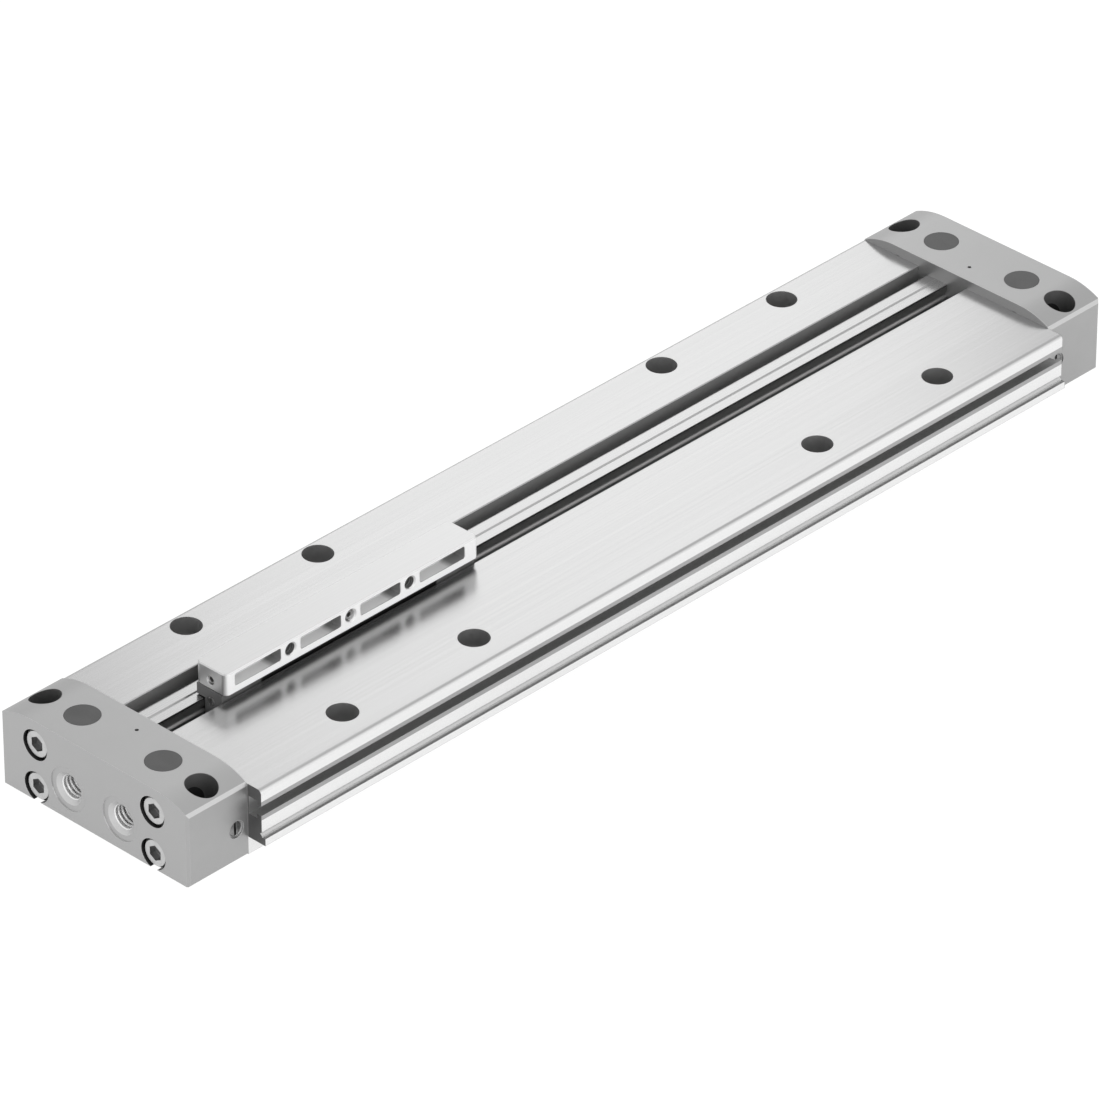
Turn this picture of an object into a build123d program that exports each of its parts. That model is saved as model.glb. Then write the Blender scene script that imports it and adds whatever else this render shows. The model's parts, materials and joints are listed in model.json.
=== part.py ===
from build123d import *
import os

# Flat rodless pneumatic drive, millimetres
# X runs along the stroke, Y across, Z up; the base plane is z = 0 and the origin is the centre
# of the mounting hole pattern. The slide stands at the near (-X) end of its stroke.

# Barrel profile
barrel_length = 191.4
barrel_top = 13.6
left_side = 21.6
right_side = -21.5
edge_round = 0.8

# Side rail with the sensor slot, on the right (-Y) side
rail_side = -24.6
rail_underside = 3.4
foot_side = -25.4
foot_top = 4.7
sensor_slot_z = 9.68
sensor_slot_opening = 1.85
sensor_slot_width = 3.4
sensor_slot_lip = 0.9
sensor_slot_depth = 2.8
trim_groove_z = 5.3
trim_groove_width = 0.7
trim_groove_depth = 0.4

# Guide rail and the channels on both sides of it
guide_right = 2.0
guide_left = 7.1
guide_top = 12.6
guide_seat = 8.0
guide_round = 0.9
guide_line_y = 4.1
guide_line_width = 0.5
guide_line_depth = 0.2
right_channel_wall = -2.35
right_channel_floor = 4.6
left_channel_wall = 8.65
left_channel_floor = 8.6
channel_chamfer = 0.15

# Piston bore, its slot and the band that seals the slot
bore_y = -8.2
bore_z = 6.0
bore_radius = 4.0
bore_slot_height = 1.6
band_height = 2.6
band_thickness = 0.2
band_play = 0.05
band_dip = 2.4
band_dip_half = 8.0
band_ramp = 7.0
band_bend_radius = 5.0
band_end_depth = 1.8

# Air duct that takes air to the far cap
duct_y = 11.3
duct_radius = 1.4

# Mounting holes, for M3 socket head screws from above
mount_y = 18.0
mount_x_inner = 41.0
mount_x_outer = 71.0
mount_hole_radius = 1.7
mount_head_radius = 2.7
mount_seat_z = 9.6

# End caps
cap_length = 13.2
cap_half_width = 21.5
cap_crown = 1.8
cap_flat_half = 14.4
cap_chamfer = 0.45
cap_bottom_chamfer = 0.25
cap_screw_y = 13.5
cap_screw_z_high = 10.8
cap_screw_z_low = 2.7
cap_screw_recess = 2.8
cap_screw_recess_radius = 2.8
cap_screw_hole_radius = 1.55
punch_inset = 3.5
punch_radius = 0.35
punch_depth = 0.3

# Ports, M5 tapped, in the cap's outer face
port_y = 6.0
port_z = 5.85
port_radius = 2.1
port_mouth_radius = 2.95
port_mouth_depth = 0.85
port_face_radius = 4.0
port_face_depth = 0.15
port_depth = 7.2

# Cross drillings closed by flush plugs, on the line of the cap's mounting holes
cap_line_inset = 6.6
plug_y = 9.3
plug_radius = 3.05
plug_play = 0.02
plug_seat_z = 13.0
plug_drilling_radius = 1.5
plug_drilling_floor = 4.6
cross_bore_inset = 2.9
cross_bore_radius = 1.0
duct_ball_radius = 1.25
duct_ball_inset = 1.6

# Cap spigot, cushion chamber and seals
spigot_radius = 3.9
spigot_length = 2.2
chamber_radius = 2.1
chamber_depth = 8.4
cushion_seal_radius = 2.5
cushion_seal_depth = 1.2
cushion_seal_bore = 1.95
seal_play = 0.05
spigot_groove_radius = 3.32
spigot_groove_width = 0.7
spigot_groove_setback = 0.15
spigot_ring_section = 0.3
duct_ring_radius = 1.95
duct_ring_section = 0.28
duct_groove_width = 0.7
duct_groove_depth = 0.6

# Cushion adjusting screws
needle_inset = 2.5
needle_radius = 1.25
needle_play = 0.05
needle_recess = 0.35
needle_shoulder_offset = 6.45
needle_neck_length = 1.3
needle_neck_radius = 0.7
needle_ring_section = 0.27
needle_stem_radius = 0.9
needle_stem_length = 3.4
needle_cone_length = 0.5
needle_tip_radius = 0.4
needle_tip_length = 0.6
needle_seat_radius = 0.5
needle_slot_width = 0.45
needle_slot_depth = 0.7
needle_mouth_radius = 1.55
cushion_drilling_radius = 0.28
cushion_drilling_offset = 2.87

# Slide bar
slide_x = -53.65
bar_length = 57.7
bar_width = 7.0
bar_y = 0.3
bar_bottom = 14.9
bar_top = 19.1
bar_corner = 1.0
bar_edge = 0.2
bar_thread_pitch = 13.6
bar_thread_shift = -0.7
bar_thread_drop = 1.7
bar_thread_radius = 1.03
bar_thread_mouth = 1.3
bar_thread_depth = 5.0
bar_boss_half = 2.2
bar_near_boss = 2.0
bar_far_boss = 3.3
pocket_depth = 2.3
pocket_height = 2.35
pocket_drop = 0.45
pocket_round = 0.4
lube_plug_play = 0.05
lube_plug_length = 3.0
lube_plug_recess = 0.5
lube_point_radius = 0.7
lube_point_length = 0.5
lube_hex = 0.9
lube_hex_depth = 1.0
bar_end_y = 0.4
bar_end_z = 16.7
bar_end_screw_radius = 0.8
bar_end_screw_length = 4.0
bar_end_screw_recess = 0.3

# Guide carriage
carriage_length = 40.0
carriage_side_play = 0.2
carriage_top_play = 0.2
carriage_wing_top = 14.5
carriage_pad_inset = 0.1
right_leg_bottom = 7.9
left_leg_bottom = 9.2
left_leg_thickness = 1.1
ball_radius = 0.5
ball_play = 0.05
ball_z = 10.6
balls_per_row = 12
ball_pitch = 3.2
return_bore_y = -1.25
return_bore_z = 11.2
left_return_y = 6.3

# End pieces of the carriage
end_base_length = 2.1
end_nose_left = 3.6
end_screw_radius = 0.45
end_screw_play = 0.05
end_screw_head_radius = 0.75
end_screw_head_length = 0.8
end_screw_y = 0.4
end_screw_z = 12.6
end_screw_left_y = 4.4
end_screw_reach = 2.8
end_screw_slot = 0.25

# Screws that hold the bar, from under the carriage's right leg
bar_screw_y = 0.35
bar_screw_outer_inset = 3.8
bar_screw_inner_x = 10.0
bar_screw_radius = 0.7
bar_screw_head_radius = 1.0
bar_screw_head_length = 1.3
bar_screw_play = 0.05
bar_screw_reach = 1.0
bar_screw_hex = 0.9

# Driver between the carriage and the yoke
driver_half_length = 8.0
driver_plate_bottom = 4.95
driver_arm_thickness = 1.2
driver_head_height = 3.0
driver_head_gap = 0.55
driver_head_depth = 1.15
driver_pin_x = 5.0
driver_pin_radius = 0.5
driver_pin_half_length = 2.0
driver_screw_x = 4.0

# Yoke and pistons
yoke_radius = 3.6
yoke_channel_height = 3.2
yoke_channel_floor = -7.1
stop_gap = 0.3
piston_length = 8.0
piston_radius = 3.85
seal_outer_radius = 3.93
seal_inner_radius = 2.95
seal_width = 1.5
seal_setback = 1.3
magnet_outer_radius = 3.7
magnet_inner_radius = 2.65
magnet_width = 1.9
magnet_setback = 4.2
ring_play = 0.05
boss_radius = 1.85
boss_length = 6.5
boss_chamfer = 0.5
bumper_thickness = 1.0
bumper_outer_radius = 3.4
bumper_play = 0.15
tenon_radius = 1.5
tenon_length = 2.0
tenon_play = 0.03
pin_play = 0.02
piston_pin_radius = 0.4
piston_pin_half_length = 3.2
piston_pin_setback = 7.2

# Guide rail screws, from below
rail_screw_count = 6
rail_screw_pitch = 30.0
rail_screw_radius = 0.95
rail_screw_play = 0.05
rail_screw_clearance_radius = 1.2
rail_screw_head_radius = 1.9
rail_screw_head_length = 2.0
rail_screw_recess_radius = 2.1
rail_screw_recess = 2.4
rail_screw_reach = 3.0
rail_screw_hex = 1.5
rail_screw_hex_depth = 1.0

# Cap screws, M3 socket head
cap_screw_head_radius = 2.6
cap_screw_head_length = 2.4
cap_screw_shank_radius = 1.2
cap_screw_thread_play = 0.05
cap_screw_reach = 8.0
cap_screw_hex = 2.5
cap_screw_hex_depth = 1.3
screw_edge = 0.3

# Values worked out from the driving dimensions
half_barrel = barrel_length / 2
cap_top = barrel_top + cap_crown
cap_outer = half_barrel + cap_length
cap_line_x = cap_outer - cap_line_inset
needle_x = half_barrel + needle_inset
cross_bore_x = half_barrel + cross_bore_inset
band_seat = bore_y + bore_radius
band_wall = band_seat + band_thickness + band_play
band_face = band_seat + band_play / 2
half_bar = bar_length / 2
slide_travel = -2 * slide_x
bar_threads = [bar_thread_shift + bar_thread_pitch * i for i in (-1, 0, 1)]
bar_pockets = [(-half_bar + bar_near_boss, bar_threads[0] - bar_boss_half),
               (bar_threads[0] + bar_boss_half, bar_threads[1] - bar_boss_half),
               (bar_threads[1] + bar_boss_half, bar_threads[2] - bar_boss_half),
               (bar_threads[2] + bar_boss_half, half_bar - bar_far_boss)]
piston_front = slide_x + half_barrel - spigot_length - stop_gap - bumper_thickness
piston_back = piston_front - piston_length
pocket_top = bar_top - pocket_drop
pocket_bottom = pocket_top - pocket_height
half_carriage = carriage_length / 2
bar_screw_outer_x = half_carriage - bar_screw_outer_inset
bar_screw_x = (-bar_screw_outer_x, -bar_screw_inner_x, bar_screw_inner_x, bar_screw_outer_x)
guide_middle = (guide_left + guide_right) / 2
bridge_bottom = guide_top + carriage_top_play
right_leg_outer = right_channel_wall + carriage_side_play
right_leg_inner = guide_right - carriage_side_play
left_leg_inner = guide_left + carriage_side_play
left_leg_outer = left_leg_inner + left_leg_thickness
groove_radius = ball_radius + ball_play
right_ball_y = guide_right - carriage_side_play / 2
left_ball_y = guide_left + carriage_side_play / 2
bar_left = bar_y + bar_width / 2
bar_right = bar_y - bar_width / 2
bar_thread_z = bar_top - bar_thread_drop
left_return_z = (bridge_bottom + carriage_wing_top) / 2
driver_head_y = band_seat - driver_head_gap
needle_shoulder = bore_y - needle_shoulder_offset
needle_end = needle_shoulder + needle_stem_length + needle_cone_length
cap_thread_radius = cap_screw_shank_radius + cap_screw_thread_play
mount_points = [(x, y) for x in (-mount_x_outer, -mount_x_inner, mount_x_inner, mount_x_outer)
                for y in (-mount_y, mount_y)]
cap_screw_points = [(y, z) for y in (-cap_screw_y, cap_screw_y)
                    for z in (cap_screw_z_low, cap_screw_z_high)]
rail_screw_points = [(rail_screw_pitch * (i - (rail_screw_count - 1) / 2), guide_middle)
                     for i in range(rail_screw_count)]
down = (Align.CENTER, Align.CENTER, Align.MAX)
up = (Align.CENTER, Align.CENTER, Align.MIN)


def yz_box(y_low, y_high, z_low, z_high, mode=Mode.ADD):
    """Rectangle in a sketch on a YZ plane, given by its limits across and up."""
    with Locations(((y_low + y_high) / 2, (z_low + z_high) / 2)):
        Rectangle(y_high - y_low, z_high - z_low, mode=mode)


def yz_plane(x, facing=1):
    """YZ plane at x whose normal points along +X or -X, with its first axis across the drive."""
    return Plane(origin=(x, 0, 0), x_dir=(0, facing, 0), z_dir=(facing, 0, 0))


def socket_screw(head_radius, head_length, shank_radius, shank_length, hexagon, hex_depth):
    """Socket head screw that stands on z = 0, with its shank below."""
    with BuildPart() as screw:
        Cylinder(head_radius, head_length, align=up)
        chamfer(screw.edges().group_by(Axis.Z)[-1], min(screw_edge, head_radius / 5))
        with BuildSketch(Plane.XY.offset(head_length)):
            RegularPolygon(hexagon / 2, 6, major_radius=False)
        extrude(amount=-hex_depth, mode=Mode.SUBTRACT)
        Cylinder(shank_radius, shank_length, align=down)
    return screw.part


def save(builder, name):
    """Label a finished piece and write its file."""
    builder.part.label = name
    export_step(builder.part, f"parts/{name}.step")


os.makedirs("parts", exist_ok=True)

# Barrel: one extruded section with the bore, the two channels, the duct and the sensor slot
with BuildPart() as profile_barrel:
    with BuildSketch(Plane.YZ) as barrel_section:
        yz_box(right_side, left_side, 0, barrel_top)
        yz_box(rail_side, right_side, rail_underside, barrel_top)
        yz_box(foot_side, rail_side, rail_underside, foot_top)
        top_corners = barrel_section.vertices().group_by(Axis.Y)[-1]
        fillet(top_corners, edge_round)
        yz_box(guide_right, guide_left, guide_seat, barrel_top, Mode.SUBTRACT)
        yz_box(guide_left, left_channel_wall, left_channel_floor, barrel_top, Mode.SUBTRACT)
        yz_box(right_channel_wall, guide_right, right_channel_floor, barrel_top, Mode.SUBTRACT)
        channel_corners = [v for v in barrel_section.vertices()
                           if abs(v.Y - barrel_top) < 0.01
                           and right_channel_wall - 0.01 < v.X < left_channel_wall + 0.01]
        chamfer(channel_corners, channel_chamfer)
        with Locations((bore_y, bore_z)):
            Circle(bore_radius, mode=Mode.SUBTRACT)
        yz_box(bore_y, band_wall, bore_z - band_height / 2 - band_play,
               bore_z + band_height / 2 + band_play,
               Mode.SUBTRACT)
        yz_box(bore_y, right_channel_wall, bore_z - bore_slot_height / 2, bore_z + bore_slot_height / 2,
               Mode.SUBTRACT)
        with Locations((duct_y, bore_z)):
            Circle(duct_radius, mode=Mode.SUBTRACT)
        yz_box(rail_side, rail_side + sensor_slot_depth, sensor_slot_z - sensor_slot_opening / 2,
               sensor_slot_z + sensor_slot_opening / 2, Mode.SUBTRACT)
        yz_box(rail_side + sensor_slot_lip, rail_side + sensor_slot_depth,
               sensor_slot_z - sensor_slot_width / 2,
               sensor_slot_z + sensor_slot_width / 2, Mode.SUBTRACT)
        with BuildLine():
            Polyline((rail_side, trim_groove_z - trim_groove_width / 2),
                     (rail_side + trim_groove_depth, trim_groove_z),
                     (rail_side, trim_groove_z + trim_groove_width / 2), close=True)
        make_face(mode=Mode.SUBTRACT)
    extrude(amount=half_barrel, both=True)
    with BuildSketch(Plane.XY):
        with Locations(mount_points):
            Circle(mount_hole_radius)
    extrude(amount=barrel_top, mode=Mode.SUBTRACT)
    with BuildSketch(Plane.XY.offset(mount_seat_z)):
        with Locations(mount_points):
            Circle(mount_head_radius)
    extrude(amount=barrel_top, mode=Mode.SUBTRACT)
    with BuildSketch(Plane.XY):
        with Locations(rail_screw_points):
            Circle(rail_screw_clearance_radius)
    extrude(amount=guide_seat, mode=Mode.SUBTRACT)
    with BuildSketch(Plane.XY):
        with Locations(rail_screw_points):
            Circle(rail_screw_recess_radius)
    extrude(amount=rail_screw_recess, mode=Mode.SUBTRACT)
    for facing in (-1, 1):
        with BuildSketch(yz_plane(facing * half_barrel)):
            with Locations(cap_screw_points):
                Circle(cap_thread_radius)
        extrude(amount=-facing * (cap_screw_reach + 1), mode=Mode.SUBTRACT)
save(profile_barrel, "profile_barrel")

# Guide rail: rounded on its left edge, with a fine line along its top and a ball groove on each side
with BuildPart() as guide_rail:
    with BuildSketch(Plane.YZ) as guide_section:
        yz_box(guide_right, guide_left, guide_seat, guide_top)
        top_right, top_left = guide_section.vertices().group_by(Axis.Y)[-1].sort_by(Axis.X)
        fillet(top_left, guide_round)
        chamfer(top_right, channel_chamfer)
        with Locations((right_ball_y, ball_z), (left_ball_y, ball_z)):
            Circle(groove_radius, mode=Mode.SUBTRACT)
        with BuildLine():
            Polyline((guide_line_y - guide_line_width / 2, guide_top),
                     (guide_line_y, guide_top - guide_line_depth),
                     (guide_line_y + guide_line_width / 2, guide_top), close=True)
        make_face(mode=Mode.SUBTRACT)
    extrude(amount=half_barrel, both=True)
    with BuildSketch(Plane.XY.offset(guide_seat)):
        with Locations(rail_screw_points):
            Circle(rail_screw_radius + rail_screw_play)
    extrude(amount=rail_screw_reach + 0.5, mode=Mode.SUBTRACT)
save(guide_rail, "guide_rail")

rail_screw = socket_screw(rail_screw_head_radius, rail_screw_head_length, rail_screw_radius,
                          guide_seat - rail_screw_recess + rail_screw_reach, rail_screw_hex,
                          rail_screw_hex_depth)
with BuildPart() as rail_screws:
    for x, y in rail_screw_points:
        with Locations(Location((x, y, rail_screw_recess), (180, 0, 0))):
            add(rail_screw)
save(rail_screws, "rail_screws")

# Inner sealing band: it lies in its seat along the bore and dips under the driver inside the yoke


def band_edge(offset):
    """One long side of the band seen from above, with its dip round the driver."""
    low = band_face - band_dip + offset
    high = band_face + offset
    reach = band_dip_half + band_ramp
    end = half_barrel + band_end_depth
    return [(-end, high), (slide_x - reach, high), (slide_x - band_dip_half, low),
            (slide_x + band_dip_half, low), (slide_x + reach, high), (end, high)]


with BuildPart() as sealing_band:
    with BuildSketch(Plane.XY.offset(bore_z)):
        with BuildLine():
            inner_edge = FilletPolyline(*band_edge(0), radius=band_bend_radius)
            outer_edge = FilletPolyline(*band_edge(band_thickness), radius=band_bend_radius)
            Line(inner_edge @ 0, outer_edge @ 0)
            Line(inner_edge @ 1, outer_edge @ 1)
        make_face()
    extrude(amount=band_height / 2, both=True)
save(sealing_band, "sealing_band")


def rod(origin, direction, radius, length, mode=Mode.ADD):
    """Round bar, or a drilling with Mode.SUBTRACT, from a point along a direction."""
    with Locations(Plane(origin=origin, z_dir=direction).location):
        Cylinder(radius, length, align=up, mode=mode)


def collar(origin, direction, outer_radius, inner_radius, length, mode=Mode.ADD):
    """Plain ring, or an annular groove with Mode.SUBTRACT, from a point along a direction."""
    with BuildSketch(Plane(origin=origin, z_dir=direction)) as annulus:
        Circle(outer_radius)
        Circle(inner_radius, mode=Mode.SUBTRACT)
    extrude(annulus.sketch, amount=length, mode=mode)


def x_box(x_low, x_high, y_low, y_high, z_low, z_high, mode=Mode.ADD):
    """Rectangular block given by its limits."""
    with Locations(((x_low + x_high) / 2, (y_low + y_high) / 2, (z_low + z_high) / 2)):
        Box(x_high - x_low, y_high - y_low, z_high - z_low, mode=mode)


# Crowned outline of a cap across the drive: flat base, sides and top, and two long arcs that leave
# the top without an edge and meet the sides at the height of the barrel
with BuildSketch() as crown:
    with BuildLine():
        Polyline((-cap_half_width, barrel_top), (-cap_half_width, 0), (cap_half_width, 0),
                 (cap_half_width, barrel_top))
        TangentArc((cap_flat_half, cap_top), (cap_half_width, barrel_top), tangent=(1, 0))
        Line((cap_flat_half, cap_top), (-cap_flat_half, cap_top))
        TangentArc((-cap_flat_half, cap_top), (-cap_half_width, barrel_top), tangent=(-1, 0))
    make_face()

# End caps: the near one faces -X and the far one faces +X
for side, facing in (("near", -1), ("far", 1)):
    inner_x = facing * half_barrel
    outer_x = facing * cap_outer
    spigot_x = inner_x - facing * spigot_length
    outward = (facing, 0, 0)
    inward = (-facing, 0, 0)
    outermost = -1 if facing > 0 else 0
    with BuildPart() as end_cap:
        with BuildSketch(Plane.YZ.offset(inner_x)):
            add(crown.sketch)
        extrude(amount=facing * cap_length)
        chamfer(end_cap.edges().filter_by(Axis.Z).group_by(Axis.X)[outermost], cap_chamfer)
        long_edges = end_cap.edges().filter_by(Axis.X).group_by(Axis.Z)
        chamfer(long_edges[1], cap_chamfer)
        chamfer(long_edges[0], cap_bottom_chamfer)
        # Spigot in the bore, with the cushion chamber and the seat of its seal
        rod((inner_x, bore_y, bore_z), inward, spigot_radius, spigot_length)
        rod((spigot_x, bore_y, bore_z), outward, chamber_radius, chamber_depth, Mode.SUBTRACT)
        rod((spigot_x, bore_y, bore_z), outward, cushion_seal_radius, cushion_seal_depth, Mode.SUBTRACT)
        # Grooves of the spigot ring and the duct ring, and the pocket that takes the end of the band
        collar((inner_x - facing * spigot_groove_setback, bore_y, bore_z), inward, spigot_radius + 1,
               spigot_groove_radius, spigot_groove_width, Mode.SUBTRACT)
        collar((inner_x, duct_y, bore_z), outward, duct_ring_radius + duct_groove_width / 2,
               duct_ring_radius - duct_groove_width / 2, duct_groove_depth, Mode.SUBTRACT)
        pocket_x = sorted((inner_x, inner_x + facing * (band_end_depth + ring_play)))
        x_box(*pocket_x, band_seat - ring_play, band_wall + ring_play, bore_z - band_height / 2 - ring_play,
              bore_z + band_height / 2 + ring_play, Mode.SUBTRACT)
        # Ports in the outer face
        for y in (-port_y, port_y):
            rod((outer_x, y, port_z), inward, port_face_radius, port_face_depth, Mode.SUBTRACT)
            rod((outer_x, y, port_z), inward, port_radius, port_depth, Mode.SUBTRACT)
            with Locations(Plane(origin=(outer_x - facing * port_face_depth, y, port_z),
                                 z_dir=inward).location):
                Cone(port_mouth_radius, port_radius, port_mouth_depth, align=up, mode=Mode.SUBTRACT)
        # Upright drillings under the flush plugs, and the duct's hole
        for y in (-plug_y, plug_y):
            rod((facing * cap_line_x, y, plug_seat_z), (0, 0, 1), plug_radius + plug_play, cap_top,
                Mode.SUBTRACT)
            rod((facing * cap_line_x, y, plug_seat_z), (0, 0, -1), plug_drilling_radius,
                plug_seat_z - plug_drilling_floor, Mode.SUBTRACT)
        rod((inner_x, duct_y, bore_z), outward, duct_radius, cap_length - cap_line_inset, Mode.SUBTRACT)
        # Mounting holes from above and cap screw holes from the outer face
        for y in (-mount_y, mount_y):
            rod((facing * cap_line_x, y, 0), (0, 0, 1), mount_hole_radius, cap_top, Mode.SUBTRACT)
            rod((facing * cap_line_x, y, mount_seat_z), (0, 0, 1), mount_head_radius, cap_top,
                Mode.SUBTRACT)
        for y, z in cap_screw_points:
            rod((outer_x, y, z), inward, cap_screw_recess_radius, cap_screw_recess, Mode.SUBTRACT)
            rod((outer_x, y, z), inward, cap_screw_hole_radius, cap_length, Mode.SUBTRACT)
        # Bore of the cushion adjusting screw, its seat, and the drilling that feeds it
        screw_x = facing * needle_x
        rod((screw_x, -cap_half_width, bore_z), (0, 1, 0), needle_radius + needle_play,
            needle_shoulder + cap_half_width, Mode.SUBTRACT)
        rod((screw_x, -cap_half_width, bore_z), (0, 1, 0), needle_mouth_radius, needle_recess,
            Mode.SUBTRACT)
        rod((screw_x, -cap_half_width, bore_z), (0, 1, 0), needle_stem_radius + needle_play,
            needle_end + needle_play + cap_half_width, Mode.SUBTRACT)
        rod((screw_x, bore_y, bore_z), (0, -1, 0), needle_seat_radius, bore_y - needle_end, Mode.SUBTRACT)
        rod((spigot_x, bore_y - cushion_drilling_offset, bore_z), outward, cushion_drilling_radius,
            spigot_length + needle_inset, Mode.SUBTRACT)
        # Centre punch mark on the crown
        punch_x = facing * (half_barrel + punch_inset)
        with Locations(Plane(origin=(punch_x, 0, cap_top), z_dir=(0, 0, -1)).location):
            Cone(punch_radius, punch_radius / 5, punch_depth, align=up, mode=Mode.SUBTRACT)
        if facing > 0:
            # Cross bore from the duct to the far chamber, closed by a pressed ball
            rod((cross_bore_x, cap_half_width, bore_z), (0, -1, 0), cross_bore_radius,
                cap_half_width - bore_y, Mode.SUBTRACT)
            rod((cross_bore_x, cap_half_width, bore_z), (0, -1, 0), duct_ball_radius,
                duct_ball_inset + duct_ball_radius, Mode.SUBTRACT)
    save(end_cap, f"{side}_end_cap")

    # Cushion adjusting screw: thread, ring neck, stem and tip turned in one piece
    with BuildPart() as cushion_screw:
        with BuildSketch(Plane.XY.offset(bore_z)):
            with BuildLine():
                head_y = -cap_half_width + needle_recess
                neck_y = needle_shoulder - needle_neck_length
                cone_y = needle_shoulder + needle_stem_length
                Polyline((screw_x, head_y), (screw_x + needle_radius, head_y),
                         (screw_x + needle_radius, neck_y),
                         (screw_x + needle_neck_radius, neck_y),
                         (screw_x + needle_neck_radius, needle_shoulder),
                         (screw_x + needle_stem_radius, needle_shoulder),
                         (screw_x + needle_stem_radius, cone_y),
                         (screw_x + needle_tip_radius, needle_end),
                         (screw_x + needle_tip_radius / 2, needle_end + needle_tip_length),
                         (screw_x, needle_end + needle_tip_length), close=True)
            make_face()
        revolve(axis=Axis((screw_x, 0, bore_z), (0, 1, 0)))
        x_box(screw_x - needle_slot_width / 2, screw_x + needle_slot_width / 2, head_y,
              head_y + needle_slot_depth, bore_z - needle_radius, bore_z + needle_radius, Mode.SUBTRACT)
    save(cushion_screw, f"{side}_cushion_screw")

    with BuildPart() as cushion_screw_ring:
        with Locations(Plane(origin=(screw_x, (neck_y + needle_shoulder) / 2, bore_z),
                             z_dir=(0, 1, 0)).location):
            Torus(needle_neck_radius + needle_play / 2 + needle_ring_section, needle_ring_section)
    save(cushion_screw_ring, f"{side}_cushion_screw_ring")

# Flush plugs, cut to the crown
with BuildPart() as cap_plugs:
    for x in (-cap_line_x, cap_line_x):
        for y in (-plug_y, plug_y):
            rod((x, y, plug_seat_z), (0, 0, 1), plug_radius, cap_top)
    with BuildSketch(Plane.YZ.offset(-cap_outer)):
        add(crown.sketch)
    extrude(amount=2 * cap_outer, mode=Mode.INTERSECT)
save(cap_plugs, "cap_plugs")

with BuildPart() as duct_ball:
    with Locations((cross_bore_x, cap_half_width - duct_ball_inset, bore_z)):
        Sphere(duct_ball_radius - ring_play / 2)
save(duct_ball, "duct_ball")

# Eight socket head screws hold the caps
cap_screw = socket_screw(cap_screw_head_radius, cap_screw_head_length, cap_screw_shank_radius,
                         cap_length - cap_screw_recess + cap_screw_reach, cap_screw_hex,
                         cap_screw_hex_depth)
with BuildPart() as cap_screws:
    for facing in (-1, 1):
        seat_x = facing * (cap_outer - cap_screw_recess)
        for y, z in cap_screw_points:
            with Locations(Plane(origin=(seat_x, y, z), z_dir=(facing, 0, 0)).location):
                add(cap_screw)
save(cap_screws, "cap_screws")

# Rings on the spigots and round the duct, and the cushion seals in the spigots
with BuildPart() as spigot_rings:
    for facing in (-1, 1):
        ring_x = facing * (half_barrel - spigot_groove_setback - spigot_groove_width / 2)
        with Locations(Plane(origin=(ring_x, bore_y, bore_z), z_dir=(1, 0, 0)).location):
            Torus(spigot_groove_radius + spigot_ring_section, spigot_ring_section)
save(spigot_rings, "spigot_rings")

with BuildPart() as duct_rings:
    for facing in (-1, 1):
        ring_x = facing * (half_barrel + duct_groove_depth / 2)
        with Locations(Plane(origin=(ring_x, duct_y, bore_z), z_dir=(1, 0, 0)).location):
            Torus(duct_ring_radius, duct_ring_section)
save(duct_rings, "duct_rings")

with BuildPart() as cushion_seals:
    for facing in (-1, 1):
        collar((facing * (half_barrel - spigot_length + seal_play), bore_y, bore_z), (facing, 0, 0),
               cushion_seal_radius - seal_play, cushion_seal_bore, cushion_seal_depth - seal_play)
save(cushion_seals, "cushion_seals")

# Slide bar: rounded corners, four pockets between three tapped bosses on its right face
with BuildPart() as slide_bar:
    with BuildSketch(Plane.XY.offset(bar_bottom)):
        with Locations((slide_x, bar_y)):
            RectangleRounded(bar_length, bar_width, bar_corner)
    extrude(amount=bar_top - bar_bottom)
    chamfer(slide_bar.faces().sort_by(Axis.Z)[-1].edges(), bar_edge)
    chamfer(slide_bar.faces().sort_by(Axis.Z)[0].edges(), bar_edge)
    with BuildSketch(Plane(origin=(slide_x, bar_right, 0), x_dir=(1, 0, 0), z_dir=(0, -1, 0))):
        for start, end in bar_pockets:
            with Locations(((start + end) / 2, (pocket_top + pocket_bottom) / 2)):
                RectangleRounded(end - start, pocket_height, pocket_round)
    extrude(amount=-pocket_depth, mode=Mode.SUBTRACT)
    for offset in bar_threads:
        rod((slide_x + offset, bar_right, bar_thread_z), (0, 1, 0), bar_thread_radius, bar_thread_depth,
            Mode.SUBTRACT)
        with Locations(Plane(origin=(slide_x + offset, bar_right, bar_thread_z), z_dir=(0, 1, 0)).location):
            Cone(bar_thread_mouth, bar_thread_radius, bar_thread_mouth - bar_thread_radius, align=up,
                 mode=Mode.SUBTRACT)
    for facing in (-1, 1):
        rod((slide_x + facing * half_bar, bar_end_y, bar_end_z), (-facing, 0, 0),
            bar_end_screw_radius + ring_play,
            bar_end_screw_length + bar_end_screw_recess, Mode.SUBTRACT)
    for offset in bar_screw_x:
        rod((slide_x + offset, bar_screw_y, bar_bottom), (0, 0, 1), bar_screw_radius + bar_screw_play,
            bar_screw_reach + ring_play, Mode.SUBTRACT)
save(slide_bar, "slide_bar")

# Set screw in the middle tapped hole, which closes the lubrication passage
lube_screw = socket_screw(bar_thread_radius - lube_plug_play, lube_plug_length, lube_point_radius,
                          lube_point_length, lube_hex, lube_hex_depth)
with BuildPart() as lube_plug:
    plug_floor = bar_right + lube_plug_recess + lube_plug_length
    with Locations(Plane(origin=(slide_x + bar_threads[1], plug_floor, bar_thread_z),
                         z_dir=(0, -1, 0)).location):
        add(lube_screw)
save(lube_plug, "lube_plug")

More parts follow.
